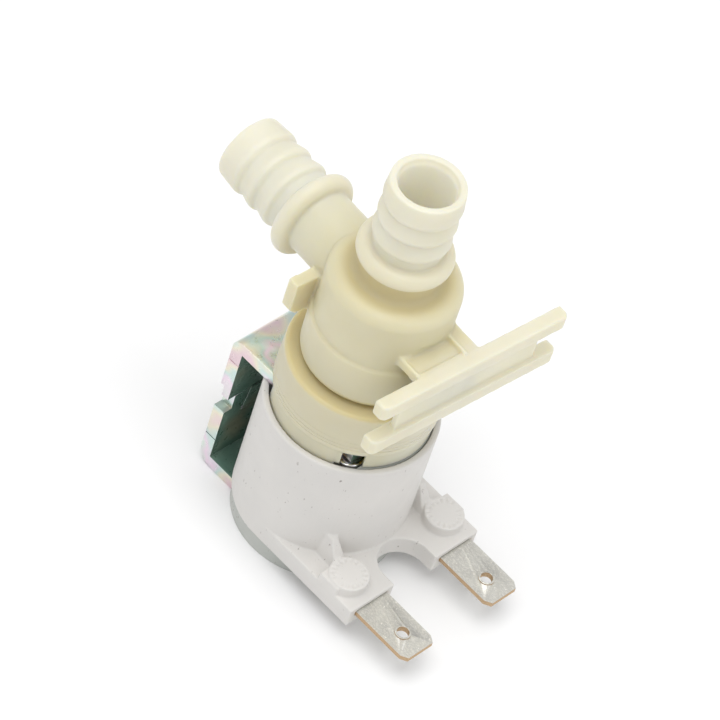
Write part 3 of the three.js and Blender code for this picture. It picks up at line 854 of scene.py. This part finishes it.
def boss_knurl(side):
    """Cutters for the shallow radial grooves on a boss top."""
    count = 18
    groove_from, groove_to = 1.9, 2.8
    half = 0.16
    depth = 0.25
    cutters = []
    for i in range(count):
        spoke = box(groove_from, groove_to, -half, half, BOSS_TOP - depth, BOSS_TOP + 0.5)
        turn = Matrix.Rotation(2 * math.pi * i / count, 4, "Z")
        cutters.append(shifted(placed(spoke, turn), side * BOSS_X, BOSS_Y))
    return cutters


def arms():
    """The coil's base: half a disc with two arms in front and an arch between them."""
    outline = [
        *arc(0, 0, COIL_RADIUS, 0, 180, 48),
        (-COIL_RADIUS, ARM_FRONT), (-ARCH_HALF, ARM_FRONT),
        *arc(0, ARCH_Y, ARCH_HALF, 180, 0, 24),
        (ARCH_HALF, ARM_FRONT), (COIL_RADIUS, ARM_FRONT),
    ]
    return prism(outline, COIL_BOTTOM, ARM_TOP)


def blade_pocket(side):
    """Cutter for the pocket that holds a blade's root, with a small gap round it."""
    gap = 0.12
    x = side * BLADE_X
    return box(x - BLADE_HALF - gap, x + BLADE_HALF + gap, ARM_FRONT - PAST, BLADE_ROOT + gap,
               BLADE_BOTTOM - gap, BLADE_TOP + gap)


def make_overmould():
    floor_hole = 6.92
    shell = [(0, COIL_BOTTOM), (COIL_RADIUS, COIL_BOTTOM), (COIL_RADIUS, RIM), (0, RIM)]
    solids = [lathe(rounded(shell, 0.3), 128), arms()]
    cutters = [
        disc(CUP_RADIUS, ARM_TOP, RIM + PAST, 128),
        disc(floor_hole, COIL_BOTTOM - PAST, ARM_TOP + PAST),
    ]
    for side in (-1, 1):
        solids += [boss(side), pad(side), fin(side)]
        cutters += [blade_pocket(side), *boss_knurl(side)]
    obj = moulded("overmould_moulding", solids, cutters, 0.15)
    finish_piece(obj, "coil", WHITE, "white_nylon", "coil_overmould")


def make_bobbin():
    """The spool. Two raised lands stand on its upper disc, in front and behind."""
    flange_top = COIL_BOTTOM - 0.12
    disc_radius = CUP_RADIUS - 0.2
    disc_under = CUP_FLOOR - 1.5
    land_from = 9.2
    gap = 0.3
    leaf_end = -8.8
    profile = [
        (STEEL_BORE, 0), (FLANGE_RADIUS, 0), (FLANGE_RADIUS, flange_top), (BARREL_RADIUS, flange_top),
        (BARREL_RADIUS, disc_under), (disc_radius, disc_under),
        (disc_radius, CUP_FLOOR), (STEEL_BORE, CUP_FLOOR),
    ]
    leaf_slot = box(-YOKE_HALF - gap, YOKE_HALF + gap, leaf_end, FLANGE_RADIUS + PAST,
                    -PAST, SHEET + gap)
    trough = box(-FAR, FAR, -land_from, land_from, CUP_FLOOR, LAND_TOP + PAST)
    lands = disc(CUP_RADIUS - 0.1, CUP_FLOOR - PAST, LAND_TOP, 128)
    obj = carved("bobbin_moulding", [lathe(profile, 128), lands], [trough, leaf_slot])
    crisp(obj, 0.15)
    finish_piece(obj, "coil", GREY, "grey_nylon", "bobbin")


# ---------------------------------------------------------------- yoke
def yoke_half(name, node, section, tools, extra=()):
    """A section drawn in Y and Z as wide as the yoke, with extra solids and the tools cut away."""
    bar = placed(prism(section, -YOKE_HALF, YOKE_HALF), TO_X)
    obj = carved(name, [bar, *extra], tools)
    crisp(obj, 0.14)
    finish_piece(obj, "coil", ZINC, "zinc_steel", node)


def edge_cuts(start, y0, z0, z1):
    """Cutters for both side edges of the upright, from start outwards in X."""
    return [
        box(*sorted((side * start, side * (YOKE_HALF + PAST))), y0, YOKE_OUTER + PAST, z0, z1)
        for side in (-1, 1)
    ]


def edge_seams(z):
    """Cutters for a thin groove across each side edge of the upright."""
    depth, half = 0.2, 0.07
    return edge_cuts(YOKE_HALF - depth, YOKE_INNER - PAST, z - half, z + half)


def dovetail(top_half, top, bottom_half, bottom, z0, z1):
    """A dovetail in the upright, drawn in X and Z, from z0 to z1 inwards from its outer face."""
    outline = [(-top_half, top), (-bottom_half, bottom), (bottom_half, bottom), (top_half, top)]
    return shifted(placed(prism(outline, z0, z1), TO_Y), y=YOKE_OUTER)


def make_yoke_upper():
    leaf_end = -8
    leaf_under = YOKE_TOP - SHEET
    bend = 1.8
    step_from, step_depth, step_top = 6.2, 0.7, 17.2
    section = [
        (leaf_end, leaf_under), (YOKE_INNER, leaf_under), (YOKE_INNER, YOKE_SPLIT),
        (YOKE_OUTER, YOKE_SPLIT), *arc(YOKE_OUTER - bend, YOKE_TOP - bend, bend, 0, 90),
        (leaf_end, YOKE_TOP),
    ]
    tools = [
        disc(STEEL_BORE, leaf_under - PAST, YOKE_TOP + PAST),
        *edge_cuts(step_from, YOKE_OUTER - step_depth, YOKE_SPLIT - PAST, step_top),
        *edge_seams(22.9),
    ]
    tongue = dovetail(3, YOKE_SPLIT + 0.5, 4, YOKE_SPLIT - TONGUE, 0, SHEET)
    yoke_half("yoke_upper_stamping", "yoke_upper", section, tools, [tongue])


def make_yoke_lower():
    leaf_end = -8.5
    bend = 2.9
    seam = 0.08
    top = YOKE_SPLIT - seam
    notch_from, notch_bottom = 6.5, 12.3
    section = [
        (leaf_end, 0), *arc(YOKE_OUTER - bend, bend, bend, 270, 360),
        (YOKE_OUTER, top), (YOKE_INNER, top), (YOKE_INNER, SHEET), (leaf_end, SHEET),
    ]
    socket_bottom = YOKE_SPLIT - TONGUE - seam
    socket = dovetail(2.8 + seam, top + PAST, 4.02 + seam, socket_bottom, -PAST, SHEET + PAST)
    tools = [
        disc(STEEL_BORE, -PAST, SHEET + PAST),
        *edge_cuts(notch_from, YOKE_INNER - PAST, notch_bottom, top + PAST),
        *edge_seams(6.0),
        socket,
    ]
    yoke_half("yoke_lower_stamping", "yoke_lower", section, tools)


def make_pole_plate():
    half, corner = 8.9, 2
    centre = half - corner
    outline = []
    for quarter, (x, y) in enumerate(((1, 1), (-1, 1), (-1, -1), (1, -1))):
        outline += arc(x * centre, y * centre, corner, 90 * quarter, 90 * quarter + 90)
    low, high = mm_box("upper_pole_plate")
    bore = disc(STEEL_BORE, low.z - PAST, high.z + PAST)
    obj = carved("pole_plate_stamping", [prism(outline, low.z, high.z)], [bore])
    crisp(obj, 0.8, segments=5)
    finish_piece(obj, "coil", BRIGHT, "zinc_steel", "upper_pole_plate")


# ---------------------------------------------------------------- terminals
def blade_outline(x):
    """The blade seen from above, its two front corners cut off."""
    tip_in, tip_back = 0.7, 1.1
    left, right = x - BLADE_HALF, x + BLADE_HALF
    return [
        (left, BLADE_ROOT), (left, BLADE_TIP + tip_back), (left + tip_in, BLADE_TIP),
        (right - tip_in, BLADE_TIP), (right, BLADE_TIP + tip_back), (right, BLADE_ROOT),
    ]


def make_terminal(label, side):
    x = side * BLADE_X
    hole_y = BLADE_TIP + 3.79
    hole_radius = 0.95
    burr_inner, burr_outer = hole_radius - 0.1, hole_radius + 0.3
    burr_bottom, burr_top = BLADE_TOP - 0.3, BLADE_TOP + 0.2
    hole = disc(hole_radius, BLADE_BOTTOM - PAST, BLADE_TOP + PAST, 48)
    burr = tube(burr_inner, burr_outer, burr_bottom, burr_top, 48)
    solids = [prism(blade_outline(x), BLADE_BOTTOM, BLADE_TOP), shifted(burr, x, hole_y)]
    obj = carved(f"terminal_{label}_blade", solids, [shifted(hole, x, hole_y)])
    crisp(obj, 0.1)
    finish_piece(obj, "coil", TINNED, "tinned_brass", f"terminal_{label}")


# ---------------------------------------------------------------- CAD nodes that stay
def dress(nodes, material):
    """Gives CAD nodes that keep their own mesh a material."""
    for name in nodes:
        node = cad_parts[name]
        node.data.materials.clear()
        node.data.materials.append(material)


# ---------------------------------------------------------------- stage
def make_floor():
    bm = bmesh.new()
    half_width = 0.9
    bmesh.ops.create_grid(bm, x_segments=8, y_segments=8, size=half_width)
    obj = mesh_object("floor", bm)
    look = Look("floor_paper", 0.9)
    look.color(look.ramp(look.noise(60), (0.3, (0.93, 0.93, 0.935)), (0.7, (0.95, 0.95, 0.955))))
    obj.data.materials.append(look.material)


def soft_light(name, place, size, watts):
    """A square area light that points at the middle of the object."""
    middle = Vector((0, 0, 0.03))
    data = bpy.data.lights.new(name, "AREA")
    data.size = size
    data.energy = watts
    obj = bpy.data.objects.new(name, data)
    obj.location = place
    obj.rotation_mode = "QUATERNION"
    obj.rotation_quaternion = (middle - Vector(place)).to_track_quat("-Z", "Y")
    bpy.context.scene.collection.objects.link(obj)


def make_lights():
    world = bpy.data.worlds.new("studio")
    world.use_nodes = True
    background = world.node_tree.nodes["Background"]
    background.inputs["Color"].default_value = (1, 1, 1, 1)
    background.inputs["Strength"].default_value = 0.70
    bpy.context.scene.world = world
    soft_light("overhead", (-0.12, 0.02, 0.75), 0.60, 2.9)
    soft_light("from_right", (0.30, -0.75, 0.55), 0.60, 0.9)
    bpy.context.scene.view_settings.view_transform = "Standard"


def make_camera():
    azimuth = math.radians(-58.25)
    elevation = math.radians(48.02)
    roll = math.radians(19.28)
    distance = 0.700
    aim = Vector((12.21, 8.67, 17.69)) * MM
    back = Vector((
        math.sin(azimuth) * math.cos(elevation),
        -math.cos(azimuth) * math.cos(elevation),
        math.sin(elevation),
    ))
    data = bpy.data.cameras.new("camera")
    data.sensor_width = 36
    data.lens = 238.74
    obj = bpy.data.objects.new("camera", data)
    obj.location = aim + back * distance
    obj.rotation_mode = "QUATERNION"
    obj.rotation_quaternion = (-back).to_track_quat("-Z", "Y") @ Quaternion((0, 0, 1), roll)
    bpy.context.scene.collection.objects.link(obj)
    bpy.context.scene.camera = obj


# ---------------------------------------------------------------- assembly
NYLON = natural_nylon()
WHITE = filled_nylon("white_filled_nylon", (0.72, 0.70, 0.67), (0.67, 0.655, 0.63), (0.22, 0.18, 0.16))
GREY = filled_nylon("grey_filled_nylon", (0.53, 0.54, 0.51), (0.47, 0.49, 0.46), (0.22, 0.20, 0.17))
ZINC = passivated_zinc()
BRIGHT = bright_zinc()
TINNED = tinned_brass()
STEEL = plain_metal("ground_steel", (0.50, 0.50, 0.50), (0.66, 0.66, 0.65))
COPPER = plain_metal("enamelled_copper", (0.55, 0.25, 0.12), (0.72, 0.38, 0.2))
TAPE = dull("yellow_tape", (0.52, 0.42, 0.12), (0.62, 0.52, 0.2), 0.55)
RUBBER = dull("black_rubber", (0.015, 0.015, 0.015), (0.04, 0.04, 0.04), 0.75)

make_camera()
make_lights()
make_floor()
make_valve_body()
make_bonnet()
make_overmould()
make_bobbin()
make_yoke_upper()
make_yoke_lower()
make_pole_plate()
make_terminal("left", -1)
make_terminal("right", 1)
dress(("upper_flux_sleeve", "lower_flux_sleeve"), ZINC)
dress(("diaphragm_insert",), NYLON)
dress(("plunger", "plunger_spring"), STEEL)
dress(("winding", "lead_left", "lead_right"), COPPER)
dress(("winding_tape",), TAPE)
dress(("body_seal", "diaphragm", "plunger_seal"), RUBBER)
